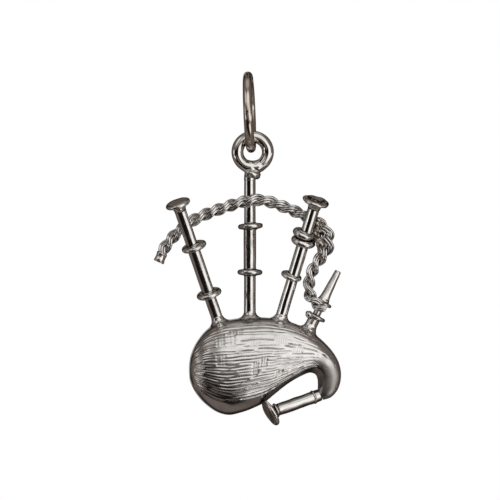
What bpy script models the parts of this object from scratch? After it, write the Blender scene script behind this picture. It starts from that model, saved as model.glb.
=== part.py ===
"""A silver charm in the form of Highland bagpipes, hanging from its jump ring.

Metres, +Z up, and the charm's front faces -Y. The origin is the point that a bracelet link bears on,
the highest point of the jump ring's inside. The charm hangs below it and swings on the wire at the
ring's bottom. All sizes below are in millimetres. Positions on the charm are in its own axes: the bass
drone stands along Z, X runs to the right, and the middle of the bail is near the origin.
"""

import math

import bmesh
import bpy
from mathutils import Matrix, Vector

MM = 0.001
CLEARANCE = 0.02
MERGE = 0.000001
TURNED_SIDES = 18
EDGE_STEPS = 6
CHARM = "bagpipes_charm"

# Jump ring and bail
RING_OUTER_DIAMETER = 6.1
RING_WIRE = 0.7
RING_TURN_DEG = 2.5
RING_RADIUS = (RING_OUTER_DIAMETER - RING_WIRE) / 2
RING_SEGMENTS = (48, 10)
HANGER_TO_PIVOT = RING_OUTER_DIAMETER - 1.5 * RING_WIRE
BAIL_WIRE = 0.90
BAIL_RADIUS = 1.14
BAIL_SEGMENTS = (36, 10)
BAIL_CENTRE = (0.21, 0.0, -0.09)

# The ring's wire rests inside the bail, a little round from its top
BAIL_HANG = BAIL_RADIUS - BAIL_WIRE / 2 - RING_WIRE / 2 - CLEARANCE
BAIL_REST_DEG = 24.0
PIVOT = (
    BAIL_CENTRE[0] - BAIL_HANG * math.sin(math.radians(BAIL_REST_DEG)),
    0.0,
    BAIL_CENTRE[2] + BAIL_HANG * math.cos(math.radians(BAIL_REST_DEG)),
)

# The charm hangs with its centre of mass below the pivot, which leans it back and tilts it a little
HANG_LEAN_DEG = 2.13
HANG_TILT_DEG = 2.33

# Drones: root on the bag and tip. The tenors lean to the front.
TENOR_TIP_Y = -2.91
DRONES = {
    "left_drone": ((-2.32, 0.0, -12.90), (-5.28, TENOR_TIP_Y, -4.20)),
    "bass_drone": ((0.0, 0.0, -12.60), (0.0, 0.0, -2.12)),
    "right_drone": ((2.24, 0.0, -12.75), (4.85, TENOR_TIP_Y, -4.03)),
}
# Pipe radius from the root to the lower collar, on to the next, and above it
PIPE_RADII = {
    "left_drone": (0.435, 0.465, 0.44),
    "bass_drone": (0.44, 0.47, 0.43),
    "right_drone": (0.43, 0.46, 0.45),
}
SPIGOT_DEPTH = 0.45
FLARE_RADIUS = 0.62
FLARE_HEIGHT = 0.55
FLARE_STEPS = 4

# Collars, lowest first: name, distance from the root, outer radius, thickness
COLLARS = {
    "left_drone": [("lower_collar", 2.44, 0.96, 0.46), ("upper_collar", 6.34, 0.96, 0.42)],
    "bass_drone": [("lower_collar", 3.50, 0.94, 0.58), ("upper_collar", 6.95, 0.94, 0.56)],
    "right_drone": [
        ("lower_collar", 3.70, 0.80, 0.40),
        ("middle_collar", 6.52, 0.93, 0.52),
        ("upper_collar", 7.15, 0.85, 0.48),
    ],
}
COLLAR_FACE = 0.8
CAPS = {"left_drone": 0.95, "right_drone": 1.01}
CAP_THICKNESS = 0.36
CAP_NECK = 0.5
CAP_UNDERSIDE = 0.625

# Blowpipe
BLOW_ROOT = (4.36, 0.0, -13.50)
BLOW_TIP = (6.62, 0.0, -9.0)
STOCK_RADIUS = 0.46
STOCK_FLARE = 0.70
STOCK_LENGTH = 1.03
LOWER_FLANGE_RADIUS = 0.80
LOWER_FLANGE_THICKNESS = 0.32
WAIST_RADIUS = 0.30
WAIST_LENGTH = 0.82
UPPER_FLANGE_RADIUS = 0.75
UPPER_FLANGE_THICKNESS = 0.28
MOUTHPIECE_BASE = 0.44
MOUTHPIECE_TIP = 0.21
MOUTHPIECE_EDGE = 0.10
MOUTHPIECE_STEPS = 3

# Chanter
CHANTER_START = (5.00, -0.08, -18.37)
CHANTER_END = (1.88, -1.02, -19.45)
CHANTER_RADIUS = 0.42
FERRULE_RADIUS = 0.52
FERRULE_LENGTH = 0.26
SOLE_CENTRE = (1.55, -1.14, -19.60)
SOLE_FACING = (-0.86, -0.27, -0.51)
SOLE_RADIUS = 1.05
SOLE_THICKNESS = 0.36

# Bag: stations from the rounded left end to the tip of the swan neck. Each gives the outline's upper
# (outer) point, its lower (inner) point and the half depth there.
BAG_STATIONS = [
    ((-4.52, -15.75), (-4.54, -16.76), 0.52),
    ((-4.39, -15.19), (-4.46, -17.29), 1.00),
    ((-4.00, -14.34), (-4.10, -18.07), 1.52),
    ((-3.30, -13.44), (-3.45, -18.85), 1.92),
    ((-2.36, -12.86), (-2.56, -19.51), 2.14),
    ((-1.15, -12.58), (-1.61, -19.78), 2.20),
    ((0.05, -12.49), (-0.65, -19.60), 2.16),
    ((1.20, -12.49), (0.20, -19.29), 2.06),
    ((2.31, -12.63), (1.02, -18.89), 1.92),
    ((3.28, -12.90), (1.77, -18.30), 1.75),
    ((4.16, -13.30), (2.54, -17.68), 1.57),
    ((4.95, -13.81), (3.33, -17.14), 1.38),
    ((5.66, -14.42), (3.98, -16.79), 1.21),
    ((6.24, -15.09), (4.49, -16.62), 1.06),
    ((6.65, -15.83), (4.89, -16.74), 0.94),
    ((6.83, -16.62), (5.05, -17.08), 0.84),
    ((6.78, -17.33), (5.08, -17.40), 0.76),
    ((6.54, -17.96), (5.08, -17.64), 0.68),
    ((6.08, -18.45), (5.07, -17.84), 0.58),
    ((5.50, -18.66), (5.05, -18.00), 0.44),
]
BAG_POLE = (-4.56, -16.26)
BAG_WALL = 0.28
BAG_STATION_STEPS = 2
BAG_SECTION_STEPS = 12
BAG_SQUARENESS = 2.3
BAG_OVERRUN = 0.08
HALF_SPACE_SIZE = 30.0
NOTCH_HEIGHT = 2.0
NOTCH_DEPTH = 1.3

# Solder: the seat under the bail, whose profile runs down its outer side in shares of its radius and
# height, and a drop that holds the cord on the right drone
SEAT_HEIGHT = 0.74
SEAT_RADIUS = 0.70
SEAT_SHIFT = 0.12
SEAT_PROFILE = [
    (0.0, 1.0),
    (0.6, 1.0),
    (0.9, 0.75),
    (1.0, 0.5),
    (0.85, 0.28),
    (0.58, 0.16),
    (0.58, 0.0),
    (0.0, 0.0),
]
DROP_CENTRE = (5.25, -2.27, -6.98)
DROP_RADIUS = 0.35
DROP_STRETCH = 1.25
DROP_SEGMENTS = (16, 10)

# Cord: two strands of silver wire with a left-hand twist. The route is the middle of the pair.
STRAND_RADIUS = 0.225
STRAND_OFFSET = 0.235
CORD_PITCH = 2.0
POINTS_PER_TURN = 10
ROUTE_STEPS = 8
CORD_END_LENGTH = 0.72
CORD_END_RADIUS = 0.40
CORD_END_EDGE = 0.15
CORD_END_STEPS = 4
CORD_ROUTE = [
    (-6.52, -1.50, -7.64),
    (-6.35, -1.50, -7.26),
    (-5.90, -1.48, -6.65),
    (-5.38, -1.46, -6.11),
    (-4.83, -1.46, -5.62),
    (-4.27, -1.38, -5.25),
    (-3.68, -1.30, -4.94),
    (-2.81, -1.20, -4.57),
    (-1.88, -1.08, -4.25),
    (-1.03, -0.99, -3.97),
    (-0.19, -0.96, -3.78),
    (0.50, -0.97, -3.70),
    (1.10, -0.98, -3.73),
    (1.60, -1.03, -3.87),
    (2.26, -1.12, -4.11),
    (3.09, -1.24, -4.42),
    (3.69, -1.36, -4.69),
    (4.31, -1.46, -5.00),
    (5.03, -1.50, -5.36),
    (5.56, -1.50, -5.94),
    (5.75, -1.48, -6.68),
    (5.67, -1.42, -7.40),
    (5.25, -1.28, -8.06),
    (4.81, -1.10, -8.71),
    (4.56, -0.86, -9.32),
    (4.43, -0.76, -9.90),
    (4.42, -0.76, -10.50),
    (4.64, -0.92, -11.11),
    (5.10, -1.14, -11.52),
    (5.62, -1.10, -11.86),
]


def clear_scene():
    for thing in list(bpy.data.objects):
        bpy.data.objects.remove(thing)


def new_collection(name):
    collection = bpy.data.collections.new(name)
    bpy.context.scene.collection.children.link(collection)
    return collection


def metal(name, colour, roughness):
    material = bpy.data.materials.new(name)
    material.use_nodes = True
    shader = material.node_tree.nodes["Principled BSDF"]
    shader.inputs["Base Color"].default_value = (*colour, 1.0)
    shader.inputs["Metallic"].default_value = 1.0
    shader.inputs["Roughness"].default_value = roughness
    return material


def to_metres(point):
    return Vector(point) * MM


def new_object(name, data, collection, material=None):
    thing = bpy.data.objects.new(name, data)
    collection.objects.link(thing)
    if material:
        data.materials.append(material)
    return thing


def aim(thing, base, direction):
    """Stands the object's own Z axis on base, along the direction."""
    turn = Vector(direction).to_track_quat("Z", "X").to_matrix().to_4x4()
    thing.matrix_basis = Matrix.Translation(to_metres(base)) @ turn


def line(base, tip):
    """The foot, unit direction and length of the line from base to tip."""
    span = Vector(tip) - Vector(base)
    return Vector(base), span.normalized(), span.length


def turned(name, profile, collection, material=None, closed=False, grow=0.0):
    """A turned piece from (radius, height) points that run down its outer side, in millimetres."""
    shape = bmesh.new()
    ring = []
    for radius, height in profile:
        wider = radius + grow if radius > 0 else 0.0
        ring.append(shape.verts.new((wider * MM, 0.0, height * MM)))
    for start, end in zip(ring, ring[1:]):
        shape.edges.new((start, end))
    if closed:
        shape.edges.new((ring[-1], ring[0]))
    mesh = bpy.data.meshes.new(name)
    shape.to_mesh(mesh)
    shape.free()
    thing = new_object(name, mesh, collection, material)
    screw = thing.modifiers.new("turn", "SCREW")
    screw.steps = TURNED_SIDES
    screw.render_steps = TURNED_SIDES
    screw.use_merge_vertices = True
    screw.merge_threshold = MERGE
    screw.use_smooth_shade = True
    return thing


def arc(centre, radius, start_deg, end_deg, steps):
    """Points on an arc in the (radius, height) plane."""
    points = []
    for step in range(steps + 1):
        angle = math.radians(start_deg + (end_deg - start_deg) * step / steps)
        points.append((centre[0] + radius * math.cos(angle), centre[1] + radius * math.sin(angle)))
    return points


def collar_profile(outer, thickness, bore):
    """A washer with a round edge, bored for its pipe."""
    edge = thickness / 2
    rim = arc((outer - edge, 0.0), edge, 90, -90, EDGE_STEPS)
    return [(bore, edge * COLLAR_FACE), *rim, (bore, -edge * COLLAR_FACE)]


def disc_profile(outer, thickness, neck):
    """A cap: a flat top, a round edge and an underside that draws in to the neck."""
    edge = thickness / 2
    rim = arc((outer - edge, 0.0), edge, 90, -60, EDGE_STEPS)
    underside = -thickness * CAP_UNDERSIDE
    return [(0.0, edge), *rim, (neck, underside), (0.0, underside)]


def pipe_profile(length, sections, depth=SPIGOT_DEPTH, flare=FLARE_RADIUS):
    """A pipe from its top down to its flared root and the spigot inside the bag.

    The sections are (height, radius) pairs, lowest first: each starts at its height.
    """
    points = [(0.0, length)]
    top = length
    for height, radius in reversed(sections[1:]):
        points.extend(((radius, top), (radius, height)))
        top = height
    radius = sections[0][1]
    points.append((radius, top))
    for step in range(FLARE_STEPS + 1):
        share = step / FLARE_STEPS
        wider = (flare - radius) * (1 - math.cos(share * math.pi / 2))
        points.append((radius + wider, FLARE_HEIGHT * (1 - share)))
    return [*points, (flare, -depth), (0.0, -depth)]


def washer_profile(outer, thickness):
    """A solid disc with a round edge."""
    edge = thickness / 2
    return [(0.0, edge), *arc((outer - edge, 0.0), edge, 90, -90, EDGE_STEPS), (0.0, -edge)]


def rod_profile(length, radius):
    """A plain round rod."""
    return [(0.0, length), (radius, length), (radius, 0.0), (0.0, 0.0)]


def cone_profile(length):
    """The mouthpiece: a slender cone with a round lip."""
    corner = (MOUTHPIECE_TIP - MOUTHPIECE_EDGE, length - MOUTHPIECE_EDGE)
    lip = arc(corner, MOUTHPIECE_EDGE, 90, 0, MOUTHPIECE_STEPS)
    return [(0.0, length), *lip, (MOUTHPIECE_BASE, 0.0), (0.0, 0.0)]


def torus(name, radius, wire, segments, collection, material):
    bpy.ops.mesh.primitive_torus_add(
        major_radius=radius * MM,
        minor_radius=wire / 2 * MM,
        major_segments=segments[0],
        minor_segments=segments[1],
    )
    ring = bpy.context.active_object
    ring.name = name
    ring.data.name = name
    ring.data.materials.append(material)
    ring.data.shade_smooth()
    for owner in list(ring.users_collection):
        owner.objects.unlink(ring)
    collection.objects.link(ring)
    return ring


def half_space(name, side, collection):
    """A cutter for everything on the other side of the bag's middle plane."""
    shape = bmesh.new()
    bmesh.ops.create_cube(shape, size=HALF_SPACE_SIZE * MM)
    mesh = bpy.data.meshes.new(name)
    shape.to_mesh(mesh)
    shape.free()
    box = new_object(name, mesh, collection)
    box.location = to_metres((0.0, -side * (HALF_SPACE_SIZE - CLEARANCE) / 2, BAG_POLE[1]))
    return box


def catmull_rom(points, steps):
    """A smooth curve through the points, with steps new points for each span."""
    nodes = [Vector(point) for point in points]
    padded = [nodes[0] * 2 - nodes[1], *nodes, nodes[-1] * 2 - nodes[-2]]
    curve = []
    for index in range(1, len(padded) - 2):
        before, start, end, after = padded[index - 1:index + 3]
        for step in range(steps):
            t = step / steps
            curve.append(
                0.5
                * (
                    2 * start
                    + (end - before) * t
                    + (2 * before - 5 * start + 4 * end - after) * t ** 2
                    + (3 * start - before - 3 * end + after) * t ** 3
                )
            )
    curve.append(nodes[-1])
    return curve


def bag_half(name, side, collection, material):
    """Half of the bag: sections across its outline, lofted into an open dome and given a wall."""
    stations = [(*outer, *inner, depth) for outer, inner, depth in BAG_STATIONS]
    shape = bmesh.new()
    pole = shape.verts.new((BAG_POLE[0] * MM, -side * BAG_OVERRUN * MM, BAG_POLE[1] * MM))
    rows = []
    for station in smooth_stations(stations):
        outer = Vector((station[0], 0.0, station[1]))
        inner = Vector((station[2], 0.0, station[3]))
        places = [(1.0, -BAG_OVERRUN)]
        for step in range(BAG_SECTION_STEPS + 1):
            angle = math.pi * step / BAG_SECTION_STEPS
            places.append((superellipse(math.cos(angle)), superellipse(math.sin(angle)) * station[4]))
        places.append((-1.0, -BAG_OVERRUN))
        row = []
        for across, depth in places:
            place = (outer + inner) / 2 + (outer - inner) / 2 * across
            row.append(shape.verts.new((place.x * MM, side * depth * MM, place.z * MM)))
        rows.append(row)
    quads = range(len(rows[0]) - 1)
    for step in quads:
        shape.faces.new((pole, rows[0][step + 1], rows[0][step]))
    for first, second in zip(rows, rows[1:]):
        for step in quads:
            shape.faces.new((first[step], first[step + 1], second[step + 1], second[step]))
    if side > 0:
        bmesh.ops.reverse_faces(shape, faces=shape.faces)
    mesh = bpy.data.meshes.new(name)
    shape.to_mesh(mesh)
    shape.free()
    mesh.shade_smooth()
    shell = new_object(name, mesh, collection, material)
    wall = shell.modifiers.new("wall", "SOLIDIFY")
    wall.thickness = BAG_WALL * MM
    wall.offset = -1.0
    wall.use_even_offset = False
    return shell


def superellipse(value):
    """Squares a sine or cosine slightly, so that the dome is full towards its border."""
    return math.copysign(abs(value) ** (2 / BAG_SQUARENESS), value)


def smooth_stations(stations):
    """Catmull-Rom through the five numbers of each station."""
    ends = catmull_rom([(s[0], s[1], s[4]) for s in stations], BAG_STATION_STEPS)
    inners = catmull_rom([(s[2], s[3], 0.0) for s in stations], BAG_STATION_STEPS)
    return [(end.x, end.y, inner.x, inner.y, end.z) for end, inner in zip(ends, inners)]


def cut(shell, cutter):
    notch = shell.modifiers.new(f"notch for {cutter.name}", "BOOLEAN")
    notch.operation = "DIFFERENCE"
    notch.object = cutter


def resample(points, spacing):
    """Points at an even spacing along a curve."""
    lengths = [0.0]
    for start, end in zip(points, points[1:]):
        lengths.append(lengths[-1] + (end - start).length)
    count = max(2, round(lengths[-1] / spacing))
    even = []
    index = 0
    for step in range(count + 1):
        wanted = lengths[-1] * step / count
        while index < len(lengths) - 2 and lengths[index + 1] < wanted:
            index += 1
        share = (wanted - lengths[index]) / (lengths[index + 1] - lengths[index])
        even.append(points[index].lerp(points[index + 1], share))
    return even


def strand(name, phase, collection, material):
    """One strand of the cord, a helix round the route."""
    spacing = CORD_PITCH / POINTS_PER_TURN
    middle = resample(catmull_rom(CORD_ROUTE, ROUTE_STEPS), spacing)
    curve = bpy.data.curves.new(name, "CURVE")
    curve.dimensions = "3D"
    curve.bevel_depth = STRAND_RADIUS * MM
    curve.bevel_resolution = 1
    curve.use_fill_caps = True
    spline = curve.splines.new("POLY")
    spline.points.add(len(middle) - 1)
    side = Vector((0.0, 1.0, 0.0))
    for index, point in enumerate(middle):
        ahead = middle[min(index + 1, len(middle) - 1)]
        behind = middle[max(index - 1, 0)]
        along = (ahead - behind).normalized()
        side = (side - along * side.dot(along)).normalized()
        angle = phase - 2 * math.pi * index / POINTS_PER_TURN
        out = side * math.cos(angle) + along.cross(side) * math.sin(angle)
        spline.points[index].co = (*((point + out * STRAND_OFFSET) * MM), 1.0)
    return new_object(name, curve, collection, material)


def solder_drop(name, collection, material):
    """A drop of solder: a sphere drawn out along Z."""
    shape = bmesh.new()
    around, up = DROP_SEGMENTS
    bmesh.ops.create_uvsphere(shape, u_segments=around, v_segments=up, radius=DROP_RADIUS * MM)
    bmesh.ops.scale(shape, verts=shape.verts, vec=(1.0, 1.0, DROP_STRETCH))
    mesh = bpy.data.meshes.new(name)
    shape.to_mesh(mesh)
    shape.free()
    mesh.shade_smooth()
    drop = new_object(name, mesh, collection, material)
    drop.location = to_metres(DROP_CENTRE)
    return drop


def build():
    clear_scene()
    charm = new_collection(CHARM)
    guides = new_collection("guides and cutters")
    silver = metal("polished_silver", (0.90, 0.89, 0.87), 0.12)
    ring_silver = metal("jump_ring_silver", (0.72, 0.68, 0.62), 0.18)
    engraved = metal("engraved_silver", (0.88, 0.87, 0.85), 0.25)
    solder = metal("silver_solder", (0.62, 0.58, 0.54), 0.35)

    pivot = new_object("swing_pivot", None, guides)
    pivot.location = (0.0, 0.0, -HANGER_TO_PIVOT * MM)
    pivot.rotation_euler = (math.radians(HANG_LEAN_DEG), math.radians(HANG_TILT_DEG), 0.0)
    axes = new_object("charm_axes", None, guides)
    axes.location = -to_metres(PIVOT)
    axes.parent = pivot

    jump_ring = torus("jump_ring", RING_RADIUS, RING_WIRE, RING_SEGMENTS, charm, ring_silver)
    jump_ring.rotation_euler = (0.0, math.radians(90), math.radians(-RING_TURN_DEG))
    jump_ring.location = (0.0, 0.0, (RING_RADIUS - HANGER_TO_PIVOT) * MM)

    pieces = [
        *build_bail(charm, guides, silver, solder),
        *build_drones(charm, guides, silver),
        *build_blowpipe(charm, guides, silver),
        *build_chanter(charm, silver),
        *build_cord(charm, silver, solder),
        *build_bag(charm, guides, engraved, silver),
    ]
    cutters = [guide for guide in guides.objects if guide.type == "MESH"]
    for piece in (*pieces, *cutters):
        piece.parent = axes
    for cutter in cutters:
        cutter.hide_render = True
        cutter.display_type = "WIRE"


def build_drones(charm, guides, silver):
    """Three wire drones, each with its collars, and caps on the two tenors."""
    pieces = []
    for name, (root, tip) in DRONES.items():
        foot, along, length = line(root, tip)
        lower, middle, upper = PIPE_RADII[name]
        heights = [distance for _, distance, _, _ in COLLARS[name]]
        sections = [(0.0, lower), (heights[0], middle), (heights[1], upper)]
        pipe = turned(f"{name}_pipe", pipe_profile(length, sections), charm, silver)
        aim(pipe, foot, along)
        pieces.append(pipe)
        notch = pipe_profile(NOTCH_HEIGHT, sections[:1], NOTCH_DEPTH)
        aim(turned(f"{name}_notch", notch, guides, grow=CLEARANCE), foot, along)
        for label, distance, outer, thickness in COLLARS[name]:
            bore = max(middle, upper) if distance > heights[0] else max(lower, middle)
            profile = collar_profile(outer, thickness, bore + CLEARANCE)
            collar = turned(f"{name}_{label}", profile, charm, silver, closed=True)
            aim(collar, foot + along * distance, along)
            pieces.append(collar)
        if name in CAPS:
            cap = turned(f"{name}_cap", disc_profile(CAPS[name], CAP_THICKNESS, CAP_NECK), charm, silver)
            aim(cap, foot + along * (length + CAP_THICKNESS * CAP_UNDERSIDE + CLEARANCE), along)
            pieces.append(cap)
    return pieces


def build_bail(charm, guides, silver, solder):
    """The bail ring, and the solder seat that it sinks into on top of the bass drone."""
    bail = torus("bail_ring", BAIL_RADIUS, BAIL_WIRE, BAIL_SEGMENTS, charm, silver)
    saddle = torus("bail_saddle", BAIL_RADIUS, BAIL_WIRE + 2 * CLEARANCE, BAIL_SEGMENTS, guides, silver)
    for ring in (bail, saddle):
        ring.rotation_euler = (math.radians(90), 0.0, 0.0)
        ring.location = to_metres(BAIL_CENTRE)
    profile = [(radius * SEAT_RADIUS, height * SEAT_HEIGHT) for radius, height in SEAT_PROFILE]
    seat = turned("bail_solder_seat", profile, charm, solder)
    bass_top = DRONES["bass_drone"][1][2]
    seat.location = to_metres((SEAT_SHIFT, 0.0, bass_top + CLEARANCE))
    cut(seat, saddle)
    return [bail, seat]


def build_blowpipe(charm, guides, silver):
    """Stock, two flanges with a waist between them, and the cone of the mouthpiece."""
    foot, along, length = line(BLOW_ROOT, BLOW_TIP)
    stock_section = [(0.0, STOCK_RADIUS)]
    notch = pipe_profile(NOTCH_HEIGHT, stock_section, NOTCH_DEPTH, STOCK_FLARE)
    aim(turned("blowpipe_notch", notch, guides, grow=CLEARANCE), foot, along)
    lower_flange = washer_profile(LOWER_FLANGE_RADIUS, LOWER_FLANGE_THICKNESS)
    upper_flange = washer_profile(UPPER_FLANGE_RADIUS, UPPER_FLANGE_THICKNESS)
    pieces = []
    start = 0.0
    for name, profile, rise, height in (
        ("stock", pipe_profile(STOCK_LENGTH, stock_section, flare=STOCK_FLARE), 0.0, STOCK_LENGTH),
        ("lower_flange", lower_flange, LOWER_FLANGE_THICKNESS / 2, LOWER_FLANGE_THICKNESS),
        ("waist", rod_profile(WAIST_LENGTH, WAIST_RADIUS), 0.0, WAIST_LENGTH),
        ("upper_flange", upper_flange, UPPER_FLANGE_THICKNESS / 2, UPPER_FLANGE_THICKNESS),
        ("mouthpiece", None, 0.0, 0.0),
    ):
        piece = turned(f"blowpipe_{name}", profile or cone_profile(length - start), charm, silver)
        aim(piece, foot + along * (start + rise), along)
        pieces.append(piece)
        start += height + CLEARANCE
    return pieces


def build_chanter(charm, silver):
    """Ferrule at the swan neck, the rod and its sole."""
    start, along, length = line(CHANTER_START, CHANTER_END)
    rod = turned("chanter_rod", rod_profile(length, CHANTER_RADIUS), charm, silver)
    aim(rod, start, along)
    profile = collar_profile(FERRULE_RADIUS, FERRULE_LENGTH, CHANTER_RADIUS + CLEARANCE)
    ferrule = turned("chanter_ferrule", profile, charm, silver, closed=True)
    aim(ferrule, start + along * FERRULE_LENGTH, along)
    sole = turned("chanter_sole", washer_profile(SOLE_RADIUS, SOLE_THICKNESS), charm, silver)
    aim(sole, SOLE_CENTRE, SOLE_FACING)
    return [rod, ferrule, sole]


def build_cord(charm, silver, solder):
    """The twisted pair, its cut end and the solder drop on the right drone."""
    strands = [
        strand("cord_strand_a", 0.0, charm, silver),
        strand("cord_strand_b", math.pi, charm, silver),
    ]
    corner = (CORD_END_RADIUS - CORD_END_EDGE, CORD_END_LENGTH - CORD_END_EDGE)
    rim = arc(corner, CORD_END_EDGE, 90, 0, CORD_END_STEPS)
    profile = [(0.0, CORD_END_LENGTH), *rim, (CORD_END_RADIUS, 0.0), (0.0, 0.0)]
    end = turned("cord_end_bead", profile, charm, silver)
    first, outward, _ = line(CORD_ROUTE[0], Vector(CORD_ROUTE[0]) * 2 - Vector(CORD_ROUTE[1]))
    aim(end, first + outward * CLEARANCE * 2, outward)
    return [*strands, end, solder_drop("cord_solder_drop", charm, solder)]


def build_bag(charm, guides, engraved, silver):
    """Two half shells, notched for the drones."""
    notches = [guide for guide in guides.objects if guide.name.endswith("_notch")]
    shells = []
    for name, side, material in (("bag_front_shell", -1, engraved), ("bag_back_shell", 1, silver)):
        shell = bag_half(name, side, charm, material)
        cut(shell, half_space(f"{name}_plane", side, guides))
        for notch in notches:
            cut(shell, notch)
        shells.append(shell)
    return shells


build()
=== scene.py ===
"""Looks of the silver bagpipes charm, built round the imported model.

Every piece is modelled again at full finish, on the place, axis and size that its CAD node has. Lengths
are in millimetres and points are in the charm's own frame: X to the right, Y to the back, Z up along the
bass drone, and the origin on that drone's line, inside the bail above it.
"""

import math
from collections import namedtuple

import bmesh
import bpy
import numpy as np
from mathutils import Matrix, Vector, noise


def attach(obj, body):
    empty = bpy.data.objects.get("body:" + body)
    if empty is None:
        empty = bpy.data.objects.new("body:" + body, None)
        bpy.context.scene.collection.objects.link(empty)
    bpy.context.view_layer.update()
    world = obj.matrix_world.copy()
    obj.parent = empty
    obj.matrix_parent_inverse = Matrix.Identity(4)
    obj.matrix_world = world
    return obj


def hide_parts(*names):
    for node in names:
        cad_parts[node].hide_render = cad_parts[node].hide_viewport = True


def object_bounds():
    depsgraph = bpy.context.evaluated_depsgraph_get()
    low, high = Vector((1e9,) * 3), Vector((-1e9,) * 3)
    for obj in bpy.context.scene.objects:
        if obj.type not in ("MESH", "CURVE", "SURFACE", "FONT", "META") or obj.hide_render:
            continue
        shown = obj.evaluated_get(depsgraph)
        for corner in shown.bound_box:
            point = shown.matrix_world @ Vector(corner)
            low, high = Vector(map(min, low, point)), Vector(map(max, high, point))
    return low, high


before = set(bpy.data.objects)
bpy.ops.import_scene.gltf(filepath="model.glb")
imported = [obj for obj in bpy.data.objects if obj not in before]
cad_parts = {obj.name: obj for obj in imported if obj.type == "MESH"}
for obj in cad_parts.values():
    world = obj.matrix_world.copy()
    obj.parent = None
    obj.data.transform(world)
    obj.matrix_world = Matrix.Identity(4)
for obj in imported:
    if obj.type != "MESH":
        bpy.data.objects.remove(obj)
cad_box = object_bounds()

MM = 0.001
CHARM_BODY = "charm"
RING_BODY = "ring"
UP = np.array((0.0, 0.0, 1.0))
RIGHT = np.array((1.0, 0.0, 0.0))
BACK = np.array((0.0, 1.0, 0.0))

# How far below the charm's origin the bass drone ends
BASS_TOP_DEPTH = 2.12

# How near its end a turned node's end radius is measured
END_BAND = 0.02

# ---- the charm's frame, and turned nodes

Spindle = namedtuple("Spindle", "base axis length radius end_radius")


def vertex_values(mesh, name="co"):
    """The points of a mesh as rows, or its normals."""
    flat = np.empty(len(mesh.vertices) * 3)
    mesh.vertices.foreach_get(name, flat)
    return flat.reshape(-1, 3)


def node_points(node):
    """The corner points of a CAD node, each once, in metres."""
    return np.unique(np.round(vertex_values(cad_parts[node].data), 7), axis=0)


def round_axis(points, towards):
    """The axis of a turned solid: the direction in which its spread differs from the other two."""
    spread, directions = np.linalg.eigh(np.cov((points - points.mean(0)).T))
    longest = spread[2] - spread[1] > spread[1] - spread[0]
    axis = directions[:, 2 if longest else 0]
    return axis if axis @ towards > 0 else -axis


def unit(direction):
    return direction / np.linalg.norm(direction)


def lengths(vectors):
    return np.linalg.norm(vectors, axis=-1)


def charm_frame():
    """The charm's X, Y and Z as columns, Z along the bass drone and Y through the bail, and its origin."""
    points = node_points("bass_drone_pipe")
    up = round_axis(points, UP)
    back = round_axis(node_points("bail_ring"), BACK)
    right = unit(np.cross(back, up))
    middle = points.mean(0)
    top = middle + up * ((points - middle) @ up).max()
    return np.column_stack((right, np.cross(up, right), up)), top + up * BASS_TOP_DEPTH * MM


BASIS, ORIGIN = charm_frame()


def to_charm(points):
    return (np.asarray(points) - ORIGIN) @ BASIS / MM


def to_world(points):
    return ORIGIN + np.asarray(points) * MM @ BASIS.T


def to_charm_box(node):
    points = to_charm(node_points(node))
    return points.min(0), points.max(0)


def about_axis(node, towards):
    """A turned node's middle and axis, and each point's height along the axis and distance from it."""
    points = to_charm(node_points(node))
    axis = round_axis(points, np.asarray(towards))
    centre = points.mean(0)
    heights = (points - centre) @ axis
    radii = lengths(points - centre - np.outer(heights, axis))
    return centre, axis, heights, radii


def spindle(node, towards=UP):
    """Where a turned node stands: the foot and direction of its axis, its length and its radii."""
    centre, axis, heights, radii = about_axis(node, towards)
    low, high = heights.min(), heights.max()
    end_radius = radii[heights > high - END_BAND].max()
    return Spindle(centre + axis * low, axis, high - low, radii.max(), end_radius)


def radii_at(node, place, levels):
    """A turned node's radius at each height above its foot: the furthest that its edges cross there."""
    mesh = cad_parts[node].data
    offset = to_charm(vertex_values(mesh)) - place.base
    heights = offset @ place.axis
    across = offset - np.outer(heights, place.axis)
    ends = np.array([edge.vertices[:] for edge in mesh.edges])
    first, second = heights[ends[:, 0]], heights[ends[:, 1]]
    radii = []
    for level in levels:
        level = min(max(level, 0.01), place.length - 0.01)
        crossing = (first - level) * (second - level) < 0
        share = ((level - first) / (second - first + 1e-12))[crossing, None]
        start, end = across[ends[crossing, 0]], across[ends[crossing, 1]]
        radii.append(lengths(start + (end - start) * share).max())
    return np.array(radii)


# ---- mesh building


def placed(name, data):
    """A new object in the scene."""
    item = bpy.data.objects.new(name, data)
    bpy.context.scene.collection.objects.link(item)
    return item


def mesh_object(name, points, faces):
    """A smooth mesh from points in the charm's frame."""
    mesh = bpy.data.meshes.new(name)
    mesh.from_pydata(to_world(points).tolist(), [], faces)
    mesh.shade_smooth()
    return placed(name, mesh)


def grid_faces(rows, columns, wrap_rows=False, wrap_columns=False):
    """Quads of a grid of points, numbered row by row."""
    faces = []
    for row in range(rows if wrap_rows else rows - 1):
        here = row * columns
        there = (row + 1) % rows * columns
        for column in range(columns if wrap_columns else columns - 1):
            after = (column + 1) % columns
            faces.append((here + column, here + after, there + after, there + column))
    return faces


def ring_faces(rings, sides, closed):
    """Faces of a row of rings of points, which closes on itself or is capped at both its ends."""
    faces = grid_faces(rings, sides, wrap_rows=closed, wrap_columns=True)
    if not closed:
        last = (rings - 1) * sides
        faces.append(tuple(reversed(range(sides))))
        faces.append(tuple(last + corner for corner in range(sides)))
    return faces


def unit_circle(axis, other, count):
    """Points on a circle round an axis, from one that is square to another axis too, and their angles."""
    first = unit(np.cross(axis, other))
    second = np.cross(axis, first)
    angles = np.linspace(0, 2 * math.pi, count, endpoint=False)
    return np.outer(np.cos(angles), first) + np.outer(np.sin(angles), second), angles


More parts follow.
